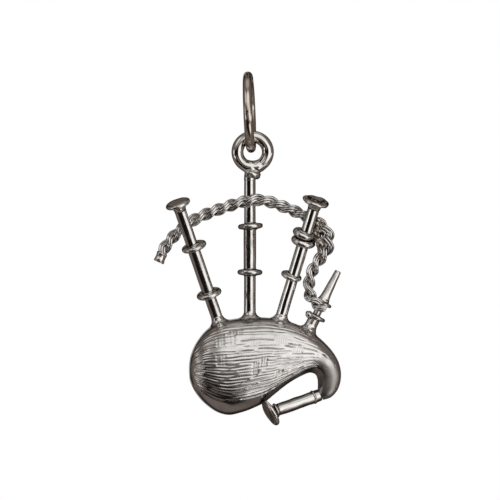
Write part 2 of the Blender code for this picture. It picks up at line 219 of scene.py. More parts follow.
def turned(name, place, profile, sides=72, closed=False):
    """A piece turned on the place's axis from (radius, height) points that run from its top to its foot."""
    circle, _ = unit_circle(place.axis, BACK, sides)
    rings = [place.base + place.axis * height + circle * radius for radius, height in profile]
    faces = ring_faces(len(rings), sides, closed)
    return mesh_object(name, np.concatenate(rings), [tuple(reversed(face)) for face in faces])


def arc(centre, radius, start_deg, end_deg, steps):
    """Points on an arc in the (radius, height) plane."""
    angles = np.radians(np.linspace(start_deg, end_deg, steps + 1))
    return [(centre[0] + radius * math.cos(a), centre[1] + radius * math.sin(a)) for a in angles]


def frames(path, closed=False):
    """Two directions across the path at each point, carried along it without twist."""
    if closed:
        along = np.roll(path, -1, axis=0) - np.roll(path, 1, axis=0)
    else:
        along = np.gradient(path, axis=0)
    along = along / lengths(along)[:, None]
    side = BACK
    across = []
    for direction in along:
        side = unit(side - direction * (side @ direction))
        across.append(side)
    return np.array(across), np.cross(along, across)


def tube(path, radius, sides=12, closed=False):
    """Points and faces of a wire along a path. The radius may differ from point to point."""
    path = np.asarray(path, float)
    radius = np.broadcast_to(radius, len(path))
    first, second = frames(path, closed)
    angles = np.linspace(0, 2 * math.pi, sides, endpoint=False)
    points = (
        path[:, None, :]
        + radius[:, None, None] * np.cos(angles)[None, :, None] * first[:, None, :]
        + radius[:, None, None] * np.sin(angles)[None, :, None] * second[:, None, :]
    ).reshape(-1, 3)
    return points, ring_faces(len(path), sides, closed)


def joined(parts):
    """Points and faces of several tubes as one set."""
    points, faces, offset = [], [], 0
    for part_points, part_faces in parts:
        points.append(part_points)
        faces.extend(tuple(corner + offset for corner in face) for face in part_faces)
        offset += len(part_points)
    return np.concatenate(points), faces


def ball(centre, radius):
    """Points and faces of a sphere, as a tube that closes at both ends."""
    nearly_shut = 0.06
    turns = np.linspace(nearly_shut, math.pi - nearly_shut, 12)
    path = np.array(centre) + np.outer(-np.cos(turns) * radius, UP)
    return tube(path, np.sin(turns) * radius, 20)


def melted(name, parts, voxel, smoothing):
    """Shapes run together like solder: joined by voxels, then smoothed."""
    piece = mesh_object(name, *joined(parts))
    remesh = piece.modifiers.new("melt", "REMESH")
    remesh.mode = "VOXEL"
    remesh.voxel_size = voxel * MM
    smooth = piece.modifiers.new("flow", "SMOOTH")
    smooth.iterations = smoothing
    depsgraph = bpy.context.evaluated_depsgraph_get()
    solid = bpy.data.meshes.new_from_object(piece.evaluated_get(depsgraph), depsgraph=depsgraph)
    solid.shade_smooth()
    rough = piece.data
    piece.modifiers.clear()
    piece.data = solid
    solid.name = name
    bpy.data.meshes.remove(rough)
    return piece


def hand_worked(piece, depth, size):
    """Moves the surface in and out a little, in waves such as files, hammers and polishing leave."""
    mesh = piece.data
    places = vertex_values(mesh)
    normals = vertex_values(mesh, "normal")
    waves = np.array([noise.noise(Vector(point)) for point in places / MM / size])
    places += normals * (waves * depth * MM)[:, None]
    mesh.vertices.foreach_set("co", places.ravel())
    mesh.update()


def catmull_rom(nodes, steps):
    """A smooth curve through all the nodes but the first and the last, which only steer its ends."""
    curve = []
    for index in range(1, len(nodes) - 2):
        before, start, end, after = nodes[index - 1:index + 3]
        for t in np.arange(steps) / steps:
            bend = (2 * before - 5 * start + 4 * end - after) * t ** 2
            turn = (3 * start - before - 3 * end + after) * t ** 3
            curve.append(0.5 * (2 * start + (end - before) * t + bend + turn))
    curve.append(nodes[-2])
    return np.array(curve)


def smoothstep(low, high, value):
    """Rises from 0 at low to 1 at high, or falls where low is the greater."""
    share = np.clip((value - low) / (high - low), 0.0, 1.0)
    return share * share * (3 - 2 * share)


def bell(away, width):
    """A round peak, 1 in the middle and about a third at its width."""
    return np.exp(-((away / width) ** 2))


# ---- materials


class Nodes:
    """Short names for adding shader nodes to one tree."""

    def __init__(self, tree):
        self.tree = tree

    def fill(self, entry, value):
        """Links an input to another node's output, or sets it to a plain value."""
        if isinstance(value, bpy.types.NodeSocket):
            self.tree.links.new(value, entry)
        else:
            entry.default_value = value

    def add(self, kind, inputs=(), **settings):
        node = self.tree.nodes.new(f"ShaderNode{kind}")
        for name, value in settings.items():
            setattr(node, name, value)
        for name, value in dict(inputs).items():
            self.fill(node.inputs[name], value)
        return node

    def attribute(self, name):
        return self.add("Attribute", attribute_name=name).outputs["Fac"]

    def noise(self, place, scale, detail, roughness):
        inputs = {"Vector": place, "Scale": scale, "Detail": detail, "Roughness": roughness}
        return self.add("TexNoise", inputs).outputs["Fac"]

    def spread(self, value, low, high, to_low, to_high):
        """Maps a range of values on another, without going past its ends."""
        inputs = {"Value": value, "From Min": low, "From Max": high, "To Min": to_low, "To Max": to_high}
        return self.add("MapRange", inputs, interpolation_type="SMOOTHSTEP").outputs["Result"]

    def math(self, operation, *values, kind="Math", output="Value"):
        node = self.add(kind, operation=operation)
        for entry, value in zip(node.inputs, values):
            self.fill(entry, value)
        return node.outputs[output]

    def vector(self, operation, *values):
        output = "Value" if operation == "DOT_PRODUCT" else "Vector"
        return self.math(operation, *values, kind="VectorMath", output=output)

    def mix(self, share, first, second):
        """Mixes two colours, each an output or a plain colour."""
        node = self.add("Mix", data_type="RGBA")
        self.fill(node.inputs[0], share)
        for index, value in ((6, first), (7, second)):
            self.fill(node.inputs[index], (*value, 1.0) if isinstance(value, tuple) else value)
        return node.outputs[2]


# Scales of the noise, in waves to the metre, and how much finer the scratches are across than along Z
PATCH_SCALE = 700.0
HAZE_SCALE = 1600.0
RIPPLE_SCALE = 3800.0
SCRATCH_SCALE = 16000.0
SCRATCH_STRETCH = 0.16
BUMP_DEPTH = 0.006
RIPPLE_SHARE = 1.5

# The most tarnish in patches, in engraved lines and on the dull neck, from 0 to 1
PATCH_STAIN = 0.45
GROOVE_STAIN = 0.55
DULL_STAIN = 0.5

# The roughness that full darkening adds, from tarnish and painted shade alike, and that the engraving and
# the dull neck add
STAIN_ROUGHNESS = 0.16
WORKED_ROUGHNESS = 0.05
DULL_ROUGHNESS = 0.16


def facing_shade_ramp(nodes, heights):
    """Painted shade for how far up the surface faces, from (height, darkness) pairs, -1 being straight down.
    """
    normal = nodes.add("SeparateXYZ", {"Vector": nodes.add("TexCoord").outputs["Normal"]})
    ramp = nodes.add("ValToRGB", {"Fac": nodes.spread(normal.outputs["Z"], -1.0, 1.0, 0.0, 1.0)})
    elements = ramp.color_ramp.elements
    for height, _ in heights[2:]:
        elements.new((1 + height) / 2)
    for element, (height, value) in zip(elements, heights):
        element.position = (1 + height) / 2
        element.color = (value, value, value, 1.0)
    return ramp.outputs["Color"]


def silver(name, bright, tarnish, roughness, scratch, edge, engraved=False, heights=(), shade_reach=0.35):
    """Polished silver: painted shade and tarnish where pieces meet and in hollows, tarnish in soft patches,
    and fine scratches from polishing.

    Roughness is the range of its haze, scratch the strength of the scratches, and edge how bright it
    stays at a glancing angle. Heights paints shade on the surface by how far it faces up, in dark bands
    along a rod. The last argument says how far the painted shade where pieces meet reaches.
    """
    material = bpy.data.materials.new(name)
    material.use_nodes = True
    nodes = Nodes(material.node_tree)
    shader = material.node_tree.nodes["Principled BSDF"]
    shader.inputs["Metallic"].default_value = 1.0
    shader.inputs["Specular Tint"].default_value = (edge, edge * 0.96, edge * 0.92, 1.0)
    place = nodes.add("TexCoord").outputs["Object"]

    # Painted shade where pieces meet and in hollows, which also stands for the tarnish there: darker near
    # other surfaces
    corner_shade = nodes.add("AmbientOcclusion", {"Distance": shade_reach * MM}, samples=6)
    dark = nodes.spread(corner_shade.outputs["AO"], 0.35, 0.85, 1.0, 0.0)
    patches = nodes.spread(nodes.noise(place, PATCH_SCALE, 5.0, 0.6), 0.48, 0.72, 0.0, PATCH_STAIN)
    # One darkening mask: the painted shade where pieces meet, together with the tarnish patches
    stain_and_shade = nodes.math("MAXIMUM", dark, patches)
    haze = nodes.spread(nodes.noise(place, HAZE_SCALE, 6.0, 0.65), 0.35, 0.75, *roughness)
    # Painted shade in bands by how far the surface faces up
    if heights:
        stain_and_shade = nodes.math("MAXIMUM", stain_and_shade, facing_shade_ramp(nodes, heights))
    if engraved:
        cut = nodes.spread(nodes.attribute("groove"), 0.3, 1.0, 0.0, GROOVE_STAIN)
        stain_and_shade = nodes.math("MAXIMUM", stain_and_shade, cut)
        worked = nodes.math("MULTIPLY", nodes.attribute("worked"), WORKED_ROUGHNESS)
        haze = nodes.math("ADD", haze, worked)
        dull = nodes.attribute("dull")
        haze = nodes.math("ADD", haze, nodes.math("MULTIPLY", dull, DULL_ROUGHNESS))
        stain_and_shade = nodes.math("MAXIMUM", stain_and_shade, nodes.math("MULTIPLY", dull, DULL_STAIN))
    nodes.fill(shader.inputs["Base Color"], nodes.mix(stain_and_shade, bright, tarnish))
    dulled = nodes.math("ADD", haze, nodes.math("MULTIPLY", stain_and_shade, STAIN_ROUGHNESS))
    nodes.fill(shader.inputs["Roughness"], dulled)

    stretch = nodes.add("Mapping", {"Vector": place, "Scale": (1.0, 1.0, SCRATCH_STRETCH)})
    scratches = nodes.noise(stretch.outputs["Vector"], SCRATCH_SCALE, 3.0, 0.6)
    ripples = nodes.noise(place, RIPPLE_SCALE, 4.0, 0.55)
    relief = nodes.math("ADD", scratches, nodes.math("MULTIPLY", ripples, RIPPLE_SHARE))
    bump = nodes.add("Bump", {"Strength": scratch, "Distance": BUMP_DEPTH * MM, "Height": relief})
    nodes.fill(shader.inputs["Normal"], bump.outputs["Normal"])
    return material


POLISHED = silver(
    "polished_silver", (0.91, 0.895, 0.875), (0.30, 0.25, 0.21), (0.04, 0.10), scratch=0.30, edge=0.08
)
# The cord's dark second colour is mostly painted shade, laid into the gaps between its wires by its short
# shade reach
WIRE = silver(
    "cord_silver", (0.95, 0.935, 0.92), (0.055, 0.046, 0.042), (0.04, 0.085), scratch=0.35, edge=0.3,
    shade_reach=0.27
)
RING = silver(
    "jump_ring_silver", (0.82, 0.76, 0.69), (0.38, 0.32, 0.27), (0.09, 0.21), scratch=0.6, edge=0.25
)
# Its long shade reach paints shade deep into hollows, such as the neck's inner wall and the roots of the
# drones
DOME = silver(
    "engraved_silver", (0.86, 0.85, 0.84), (0.26, 0.22, 0.19), (0.11, 0.19), scratch=0.30, edge=0.35,
    engraved=True, shade_reach=0.9
)
# Painted shade on the chanter's rod by how far its surface faces up, from -1 down to 1 up: dark along its
# underside and its top edge, and in a thin band just above its middle
ROD_PAINTED_SHADE = (
    (-0.60, 0.95), (-0.36, 0.05), (0.33, 0.0), (0.41, 0.6), (0.50, 0.15), (0.70, 0.2), (0.84, 0.95)
)
CHANTER = silver(
    "chanter_silver", (0.90, 0.88, 0.86), (0.19, 0.165, 0.15), (0.05, 0.12), scratch=0.40, edge=0.35,
    heights=ROD_PAINTED_SHADE
)
SOLDER = silver(
    "silver_solder", (0.72, 0.67, 0.61), (0.24, 0.19, 0.15), (0.16, 0.38), scratch=1.0, edge=0.4
)


def finish(
    piece, nodes, slot="polished_silver", material=POLISHED, body=CHARM_BODY, depth=0.006, size=0.7
):
    """Gives a piece its waves, material and body, and puts it in place of its CAD nodes."""
    hand_worked(piece, depth, size)
    piece.data.materials.append(material)
    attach(piece, body)
    if nodes:
        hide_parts(*nodes)


def finish_turned(node, kind, place, outline, closed=False, **looks):
    """Turns a piece and finishes it in place of its node, with the node's name and its own kind."""
    finish(turned(f"{node}_{kind}", place, outline, closed=closed), [node], **looks)


# ---- jump ring and bail


def circle_path(node, count):
    """The middle line of a ring-shaped node, its wire radius, and the angle of each of its points."""
    centre, axis, _, radii = about_axis(node, (1.0, 1.0, 0.0))
    radius = (radii.max() + radii.min()) / 2
    wire = (radii.max() - radii.min()) / 2
    circle, angles = unit_circle(axis, UP, count)
    return centre + radius * circle, wire, angles


RING_RADIUS = 2.7
RING_JOINT_ANGLE = 1.9


def make_jump_ring():
    """Round wire closed on itself, pinched in a fine line at its joint and a little swollen beside it."""
    path, wire, angles = circle_path("jump_ring", 300)
    from_joint = np.abs(angles - RING_JOINT_ANGLE) * RING_RADIUS
    radius = wire - 0.03 * bell(from_joint, 0.035) + 0.012 * bell(from_joint, 0.16)
    piece = mesh_object("jump_ring_wire", *tube(path, radius, 36, closed=True))
    finish(piece, ["jump_ring"], "jump_ring_silver", RING, RING_BODY)


def make_bail():
    """The bail, and the solder that holds it: a cup on the bass drone that has run up round its foot."""
    path, wire, _ = circle_path("bail_ring", 240)
    finish(mesh_object("bail_wire", *tube(path, wire, 36, closed=True)), ["bail_ring"])

    low, high = to_charm_box("bail_solder_seat")
    floor, middle, width = low[2], (low[0] + high[0]) / 2, (high[0] - low[0]) / 2
    foot = path[path[:, 2] < path[:, 2].min() + 0.40]
    foot = foot[np.argsort(foot[:, 0])]

    # The cup from its foot up: the middle of each level, and its radius
    cup = [
        (middle - 0.12, 0.0, floor - 0.14, 0.435),
        (middle - 0.12, 0.0, floor + 0.13, 0.445),
        (middle - 0.06, 0.0, floor + 0.22, 0.54),
        (middle, 0.0, floor + 0.32, width * 0.98),
        (middle + 0.03, 0.0, floor + 0.44, width),
        (middle + 0.06, 0.0, floor + 0.58, width * 0.86),
        (middle + 0.08, 0.0, floor + 0.70, width * 0.60),
    ]
    parts = [
        tube(foot, wire - 0.03 + 0.08 * np.sin(np.linspace(0, math.pi, len(foot))), 24),
        tube([place[:3] for place in cup], [place[3] for place in cup], 32),
        ball((middle + 0.44, -0.10, floor + 0.46), 0.21),
        ball((middle + 0.20, -0.38, floor + 0.40), 0.22),
        ball((middle - 0.24, -0.34, floor + 0.34), 0.25),
        ball((middle + 0.04, -0.24, floor + 0.72), 0.30),
    ]
    piece = melted("bail_solder_fillet", parts, voxel=0.025, smoothing=5)
    finish(piece, ["bail_solder_seat"], "silver_solder", depth=0.02, size=0.35)


# ---- drones

# An outline starts and ends this near the axis
HUB = 0.001

# Below this height a pipe's foot is hidden in the fillet that the bag draws up round it
FLARE_TOP = 0.62
END_ROUNDING = 0.05
CAP_THICKNESS = 0.34


def pipe_outline(node, place):
    """A wire pipe with the steps of its CAD node, and a slightly rounded top."""
    top = place.length
    heights = np.linspace(top - 0.06, 0.0, 150)
    straight = radii_at(node, place, (FLARE_TOP,))[0]
    radii = np.where(heights > FLARE_TOP, radii_at(node, place, heights), straight)
    round_top = arc((radii[0] - END_ROUNDING, top - END_ROUNDING), END_ROUNDING, 90, 0, 4)
    return [(HUB, top), *round_top, *zip(radii, heights), (HUB, 0.0)]


def rod_outline(length, radius):
    """A plain round wire with rounded ends."""
    top = arc((radius - END_ROUNDING, length - END_ROUNDING), END_ROUNDING, 90, 0, 4)
    foot = arc((radius - END_ROUNDING, END_ROUNDING), END_ROUNDING, 0, -90, 4)
    heights = np.linspace(length - 0.12, 0.12, 24)
    return [(HUB, length), *top, *((radius, height) for height in heights), *foot, (HUB, 0.0)]


def collar_outline(bores, outer, thickness, edge, fillet, slack=0.0):
    """A collar: solder fillets onto the pipe, faces that thin outwards, and a round edge.

    The bores are the pipe's radii above and below it. The slack is how far it stands off centre.
    """
    half = thickness / 2
    upper, lower = bores
    top = arc((upper + fillet, half + fillet), fillet, 180, 270, 6)
    rim = arc((outer - edge, 0.0), edge, 80, -80, 12)
    foot = arc((lower + fillet, -half - fillet), fillet, 90, 180, 6)
    inside = -0.06 - slack
    return [(upper + inside, half + fillet), *top, *rim, *foot, (lower + inside, -half - fillet)]


def cap_outline(outer, thickness, neck, dish):
    """A cap: its top face, which may be dished inside a rim, a round edge and a coned underside."""
    half = thickness / 2
    edge = half * 0.95
    if dish:
        face = [(HUB, half - dish * 0.4), (0.12, half - dish * 0.5), (0.24, half - dish),
                (outer * 0.45, half - dish * 0.9), (outer * 0.62, half - dish * 0.15)]
    else:
        face = [(HUB, half), (outer * 0.5, half)]
    rim = arc((outer - edge, 0.0), edge, 82, -62, 12)
    cone = arc((neck + 0.22, -half - 0.16), 0.16, 100, 180, 6)
    return [*face, *rim, *cone, (neck, -half - 0.42), (HUB, -half - 0.42)]


def centred(place, shift=0.0, tilt=0.0):
    """The same spindle with heights from its middle, moved to the right and tilted by a slope."""
    middle = place.base + place.axis * place.length / 2
    return place._replace(base=middle + RIGHT * shift, axis=unit(place.axis + RIGHT * tilt))


Collar = namedtuple("Collar", "edge shift tilt")

# How each collar was made and set: the radius of its edge, and how far it stands off centre and askew
COLLARS = {
    "left_drone_upper_collar": Collar(0.18, 0.10, 0.0),
    "left_drone_lower_collar": Collar(0.19, 0.02, 0.03),
    "bass_drone_upper_collar": Collar(0.19, 0.04, -0.07),
    "bass_drone_lower_collar": Collar(0.19, 0.0, 0.01),
    "right_drone_upper_collar": Collar(0.25, -0.18, 0.05),
    "right_drone_middle_collar": Collar(0.27, -0.04, 0.0),
    "right_drone_lower_collar": Collar(0.17, -0.15, 0.03),
}


def make_drones():
    """The three drones' pipes, each with its collars, and the two caps."""
    for drone in ("left_drone", "bass_drone", "right_drone"):
        node = f"{drone}_pipe"
        pipe = spindle(node)
        finish_turned(node, "wire", pipe, pipe_outline(node, pipe), depth=0.010, size=0.9)
        for collar_node, collar in COLLARS.items():
            if not collar_node.startswith(drone):
                continue
            place = spindle(collar_node)
            height = (place.base - pipe.base) @ pipe.axis + place.length / 2
            bores = radii_at(node, pipe, (height + 0.3, height - 0.3))
            slack = abs(collar.shift)
            outline = collar_outline(bores, place.radius, place.length * 0.84, collar.edge, 0.06, slack)
            place = centred(place, collar.shift, collar.tilt)
            finish_turned(collar_node, "ring", place, outline, depth=0.016, size=0.5)
    for node, dish, waves in (("left_drone_cap", 0.0, 0.014), ("right_drone_cap", 0.10, 0.05)):
        place = spindle(node)
        pipe = spindle(node.replace("cap", "pipe"))
        outline = cap_outline(place.radius, CAP_THICKNESS, pipe.end_radius, dish)
        finish_turned(node, "disc", centred(place), outline, depth=waves, size=0.5)


# ---- blowpipe and chanter


def make_blowpipe():
    """Stock, flanges, waist and mouthpiece, with the ball where the cord's end is soldered on."""
    stock = spindle("blowpipe_stock")
    finish_turned("blowpipe_stock", "wire", stock, pipe_outline("blowpipe_stock", stock))
    waist = spindle("blowpipe_waist", stock.axis)
    for node, bores in (
        ("blowpipe_lower_flange", (waist.end_radius, stock.end_radius)),
        ("blowpipe_upper_flange", (waist.end_radius, waist.end_radius)),
    ):
        place = spindle(node, stock.axis)
        outline = collar_outline(bores, place.radius, place.length, place.length * 0.44, 0.05)
        finish_turned(node, "ring", centred(place), outline, closed=True, depth=0.02, size=0.4)
    longer = waist._replace(base=waist.base - waist.axis * 0.4, length=waist.length + 0.9)
    finish_turned("blowpipe_waist", "pin", longer, rod_outline(longer.length, waist.end_radius))
    low, high = to_charm_box("blowpipe_lower_flange")
    middle = (low[0] + 0.26, (low[1] + high[1]) / 2 - 0.45, (low[2] + high[2]) / 2 + 0.17)
    finish(mesh_object("blowpipe_solder_ball", *ball(middle, 0.28)), [], "silver_solder", depth=0.02)
    make_mouthpiece(stock.axis)


def make_mouthpiece(axis):
    """A slender cone with a hollow flare at its foot and the bore drilled in its end."""
    place = spindle("blowpipe_mouthpiece", axis)
    length, foot, lip = place.length, place.radius * 1.08, place.end_radius + 0.09
    bore = 0.06
    cone = np.linspace(0.0, 1.0, 30)
    radii = lip + (foot * 0.80 - lip) * cone + foot * 0.20 * np.exp((cone - 1.0) * 14.0)
    heights = length - 0.14 - (length - 0.2) * cone
    outline = [
        (HUB, length - 0.35),
        (bore * 0.8, length - 0.33),
        (bore, length - 0.04),
        *arc((bore + 0.04, length - 0.04), 0.04, 150, 90, 3),
        *arc((lip - 0.09, length - 0.09), 0.09, 85, 0, 6),
        *zip(radii, heights),
        *arc((foot - 0.04, 0.02), 0.04, 20, -90, 5),
        (HUB, -0.02),
    ]
    finish_turned("blowpipe_mouthpiece", "cone", place, outline, depth=0.012, size=0.6)


def make_chanter():
    """The chanter's rod with a round bead at its left end, its ferrule by the neck, and its sole."""
    left = np.array((-1.0, 0.0, -0.3))
    rod = spindle("chanter_rod", left)
    radius = rod.end_radius * 1.10
    longer = rod._replace(base=rod.base - rod.axis * 0.25, length=rod.length + 0.35)
    outline = [
        (HUB, longer.length),
        *arc((radius + 0.04, longer.length - 0.16), 0.08, 90, -60, 8),
        *((radius, height) for height in np.linspace(longer.length - 0.32, 0.0, 30)),
        (HUB, 0.0),
    ]
    finish_turned("chanter_rod", "wire", longer, outline, material=CHANTER, depth=0.035, size=0.6)

    ferrule = spindle("chanter_ferrule", left)
    outline = collar_outline((radius, radius), ferrule.radius, ferrule.length * 0.6, 0.07, 0.03)
    finish_turned("chanter_ferrule", "ring", centred(ferrule), outline, closed=True, depth=0.02, size=0.4)

    sole = spindle("chanter_sole", left)
    half = sole.length / 2
    edge = half * 0.96
    outline = [
        (HUB, half * 0.82),
        (sole.radius * 0.35, half * 0.84),
        (sole.radius * 0.6, half * 0.92),
        *arc((sole.radius - edge, 0.0), edge, 84, -80, 14),
        (radius + 0.05, -half),
        *arc((radius + 0.05, -half - 0.05), 0.05, 90, 180, 4),
        (HUB, -half - 0.05),
    ]
    finish_turned("chanter_sole", "disc", centred(sole), outline, depth=0.02, size=0.6)


# ---- bag

# Stations from the rounded left end to the tip of the swan neck: the outline's upper (outer) point, its
# lower (inner) point and the half depth, as in the CAD shells.
BAG_STATIONS = [
    ((-4.52, -15.75), (-4.54, -16.76), 0.52), ((-4.39, -15.19), (-4.46, -17.29), 1.00),
    ((-4.00, -14.34), (-4.10, -18.07), 1.52), ((-3.30, -13.44), (-3.45, -18.85), 1.92),
    ((-2.36, -12.86), (-2.56, -19.51), 2.14), ((-1.15, -12.58), (-1.61, -19.78), 2.20),
    ((0.05, -12.49), (-0.65, -19.60), 2.16), ((1.20, -12.49), (0.20, -19.29), 2.06),
    ((2.31, -12.63), (1.02, -18.89), 1.92), ((3.28, -12.90), (1.77, -18.30), 1.75),
    ((4.16, -13.30), (2.54, -17.68), 1.57), ((4.95, -13.81), (3.33, -17.14), 1.38),
    ((5.66, -14.42), (3.98, -16.79), 1.21), ((6.24, -15.09), (4.49, -16.62), 1.06),
    ((6.65, -15.83), (4.89, -16.74), 0.94), ((6.83, -16.62), (5.05, -17.08), 0.84),
    ((6.78, -17.33), (5.08, -17.40), 0.76), ((6.54, -17.96), (5.08, -17.64), 0.68),
    ((6.08, -18.45), (5.07, -17.84), 0.58), ((5.50, -18.66), (5.05, -18.00), 0.44),
]
BAG_POLE = (-4.56, -16.26)
BAG_SQUARENESS = 2.3
BAG_WALL = 0.28
SEAM = 0.01
STATION_STEPS = 13
ACROSS_STEPS = 340
INNER_STEPS = 10


def bag_sections():
    """Upper and lower outline points and half depths of every section, smooth through the left end."""
    rows = [(*upper, *lower, depth) for upper, lower, depth in BAG_STATIONS]
    first = rows[0]
    mirrored = (first[2], first[3], first[0], first[1], -first[4])
    pole = (*BAG_POLE, *BAG_POLE, 0.0)
    last = tuple(2 * a - b for a, b in zip(rows[-1], rows[-2]))
    return catmull_rom(np.array([mirrored, pole, *rows, last]), STATION_STEPS)[1:]


def superellipse(value):
    return np.sign(value) * np.abs(value) ** (2 / BAG_SQUARENESS)


def bag_surface(sections, steps, side, inset=0.0, ridged=False):
    """Points of a dome, sections by steps, how far across each step lies, and the sections' half widths."""
    angles = np.linspace(0, math.pi, steps + 1)
    across = superellipse(np.cos(angles))
    out = np.tile(superellipse(np.sin(angles)), (len(sections), 1))
    if ridged:
        ridge = ridge_line(len(sections))[:, None]
        crest = (1 - (1 - ridge) ** BAG_SQUARENESS) ** (1 / BAG_SQUARENESS)
        wall = np.clip((across[None, :] + 1) / ridge, 0.0, 1.0)
        out = np.where(wall < 1, crest * wall ** 0.85, out)
    flat = np.zeros(len(sections))
    upper = np.column_stack((sections[:, 0], flat, sections[:, 1]))
    lower = np.column_stack((sections[:, 2], flat, sections[:, 3]))
    middle = (upper + lower) / 2
    half = (upper - lower) / 2
    width = lengths(half)
    half = half * np.clip(1 - inset / width, 0.1, 1.0)[:, None]
    depth = np.maximum(sections[:, 4] - inset, 0.1 * sections[:, 4])
    points = middle[:, None, :] + half[:, None, :] * across[None, :, None]
    points[:, :, 1] = side * (depth[:, None] * out + SEAM)
    return points, across, width


def ridge_line(count):
    """How far in from the lower border the ridge lies that runs above the opening and round the neck."""
    along = np.linspace(0.0, 1.0, count)
    narrow = 0.10 * smoothstep(0.36, 0.50, along)
    wide = 0.42 * smoothstep(0.56, 0.70, along)
    return 0.004 + (narrow + wide) * (1 - smoothstep(0.86, 0.97, along))


FILLETS = {
    "left_drone_pipe": 0.50, "bass_drone_pipe": 0.52, "right_drone_pipe": 0.46, "blowpipe_stock": 0.42
}


def raise_fillets(points):
    """Draws the bag's metal up round the foot of each drone and of the blowpipe, in a round fillet."""
    for node, reach in FILLETS.items():
        place = spindle(node)
        offset = points - place.base
        height = offset @ place.axis
        distance = lengths(offset - height[..., None] * place.axis)
        gap = np.clip(distance - place.end_radius, 0.0, reach)
        lift = reach - np.sqrt(np.maximum(reach ** 2 - (reach - gap) ** 2, 0.0))
        near = smoothstep(-1.6, -1.0, height)
        points += (lift * near)[..., None] * place.axis
    return points


# The engraved lines that run along the bag
LINE_COUNT = 24
LINE_WIDTH = 0.055
LINE_DEPTH = 0.044
FRONT_SEED = 11
BACK_SEED = 23

# About the bag's length, which makes shares along it millimetres, and how deep the short strokes are
HATCH_SCALE = 17.0
HATCH_STRENGTH = 0.7

# Groups of short strokes across the lines: where along the bag and across it, how many, how far apart,
# and how long
HATCHINGS = [
    (0.278, 0.775, 6, 0.0105, 0.14), (0.309, 0.850, 5, 0.010, 0.06), (0.471, 0.748, 5, 0.009, 0.11),
    (0.552, 0.633, 5, 0.010, 0.15), (0.390, 0.386, 3, 0.008, 0.12), (0.421, 0.445, 3, 0.010, 0.12),
    (0.266, 0.520, 4, 0.009, 0.12), (0.378, 0.678, 4, 0.009, 0.07), (0.500, 0.250, 4, 0.008, 0.10),
]


def strokes(rng):
    """The graver's strokes: (start, end, line at the start, line at the end, strength).

    A line is a share of the way from the lower ridge, 0, to the upper border, 1. Start and end count
    along the bag, from 0 at its rounded end to 1 at the tip of the neck.
    """
    cuts = []
    last = (0.50, 0.68, 0.60)
    for number, line in enumerate(np.linspace(0.04, 0.92, LINE_COUNT)):
        border = abs(2 * line - 1)
        begin = 0.125 + 0.09 * border ** 4 + rng.uniform(-0.015, 0.015)
        until = last[number % 3] - 0.06 * max(line - 0.6, 0.0) + rng.uniform(-0.03, 0.03)
        at = begin
        while at < until:
            reach = min(rng.uniform(0.05, 0.15), until - at)
            wander = rng.uniform(-0.008, 0.008, 2)
            cuts.append((at, at + reach, line + wander[0], line + wander[1], rng.uniform(0.25, 1.0)))
            at += reach + rng.uniform(-0.012, 0.012)
    return cuts


def engrave(points, across, width, side):
    """How deep each point is cut, how much the graver has worked there, and how dull the neck is."""
    rng = np.random.default_rng(FRONT_SEED if side < 0 else BACK_SEED)
    along = np.linspace(0.0, 1.0, len(points))[:, None]
    low = ridge_line(len(points))[:, None] - 0.97 + 0.20 * smoothstep(0.55, 0.35, along)
    line = (across[None, :] - low) / (1 - low)
    scale = width[:, None] * (1 - low)
    depth = np.zeros(points.shape[:2])
    for start, end, first, second, strength in strokes(rng):
        rows = slice(max(int((start - 0.01) * len(points)), 0), int((end + 0.01) * len(points)) + 1)
        part = along[rows]
        share = np.clip((part - start) / (end - start), 0.0, 1.0)
        bow = 0.003 * np.sin(share * math.pi * 2 + first * 40)
        away = (line[rows] - first - (second - first) * share - bow) * scale[rows]
        taper = smoothstep(start - 0.008, start + 0.012, part) * smoothstep(end + 0.008, end - 0.02, part)
        depth[rows] = np.maximum(depth[rows], strength * taper * bell(away, LINE_WIDTH))
    for middle, place, count, gap, length in HATCHINGS:
        for number in range(count):
            centre = middle + (number - count / 2) * gap + rng.uniform(-0.0015, 0.0015)
            away = (along - centre + 0.02 * (line - place)) * HATCH_SCALE
            taper = smoothstep(place - length / 2 - 0.02, place - length / 2, line)
            taper = taper * smoothstep(place + length / 2 + 0.02, place + length / 2, line)
            depth = np.maximum(depth, HATCH_STRENGTH * taper * bell(away, LINE_WIDTH))
    worked = smoothstep(0.08, 0.20, along) * smoothstep(0.74, 0.60, along)
    worked = worked * smoothstep(0.0, 0.08, line) * smoothstep(1.0, 0.88, line)
    dull = smoothstep(0.66, 0.80, along) * np.ones_like(line)
    return depth, worked, dull


PIT_SEED = 5
PIT_COUNT = 16
PIT_DEPTH = 0.025


def pitted(points, normals):
    """A few fine pits that casting has left in the polished border beside the neck."""
    rng = np.random.default_rng(PIT_SEED)
    rows, columns = points.shape[:2]
    for _ in range(PIT_COUNT):
        row, column = int(rng.uniform(0.62, 0.93) * rows), int(rng.uniform(0.06, 0.30) * columns)
        away = lengths(points - points[row, column])
        points = points - normals * (PIT_DEPTH * bell(away, rng.uniform(0.03, 0.05)))[..., None]
    return points


def surface_normals(points):
    normals = np.cross(np.gradient(points, axis=0), np.gradient(points, axis=1))
    return normals / np.maximum(lengths(normals), 1e-9)[..., None]


